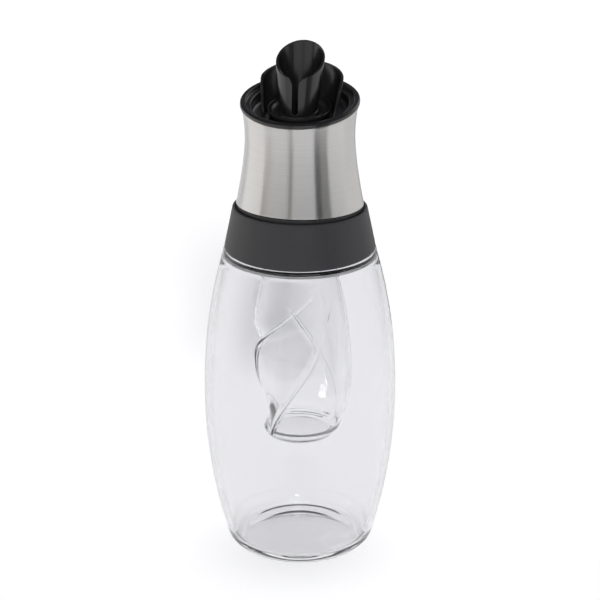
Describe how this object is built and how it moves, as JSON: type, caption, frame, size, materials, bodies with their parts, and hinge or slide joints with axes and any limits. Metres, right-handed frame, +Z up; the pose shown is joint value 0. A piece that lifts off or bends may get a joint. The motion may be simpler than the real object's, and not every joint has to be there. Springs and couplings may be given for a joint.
{
  "type": "oil and vinegar dispenser",
  "caption": "Clear bellied bottle with a twisted inner vessel, a grey grip band and a turning steel head whose nested black spouts pour oil, vinegar or both.",
  "frame": {"origin": "on the table, at the middle of the bottle's foot", "axes": "+Z up along the bottle's axis, +Y the way the spouts pour, -Y the side of their open slots"},
  "size_m": [0.084, 0.084, 0.228],
  "materials": {
    "bottle_glass": "clear polished glass",
    "vessel_clear": "clear, with soft rounded creases",
    "soft_grey": "soft-touch matt grey",
    "brushed_steel": "fine brushing round the axis",
    "plain_steel": "plain stainless steel",
    "gloss_black": "glossy black moulding",
    "satin_black": "satin black moulding",
    "valve_white": "smooth white, low friction",
    "seal_silicone": "grey food-grade silicone"
  },
  "bodies": {
    "bottle": {"outer_bottle": "bottle_glass"},
    "collar": {"neck_collar": "soft_grey", "collar_pad": "seal_silicone", "stopper_plug": "satin_black", "bottle_seal": "seal_silicone", "vessel_seal": "seal_silicone", "port_plate": "satin_black", "plate_screw_1": "plain_steel", "plate_screw_2": "plain_steel", "plate_screw_3": "plain_steel", "port_gasket": "seal_silicone", "pivot_screw": "plain_steel", "pivot_washer": "plain_steel", "pivot_nut": "plain_steel"},
    "head": {"valve_disc": "valve_white", "head_core": "satin_black", "duct_gasket": "seal_silicone", "steel_sleeve": "brushed_steel", "drip_cup": "gloss_black", "oil_spout": "gloss_black", "vinegar_spout": "gloss_black", "spout_seal": "seal_silicone"},
    "vessel": {"inner_vessel": "vessel_clear"}
  },
  "joints": [
    {"name": "head_pull", "type": "slide", "parent": "bottle", "child": "collar", "axis": [0, 0, 1], "range_m": [0, 0.1]},
    {"name": "selector_twist", "type": "hinge", "parent": "collar", "child": "head", "pos_m": [0, 0, 0.1565], "axis": [0, 0, 1], "range_deg": [-45, 45]},
    {"name": "vessel_pull", "type": "slide", "parent": "collar", "child": "vessel", "axis": [0, 0, -1], "range_m": [0, 0.03]}
  ]
}
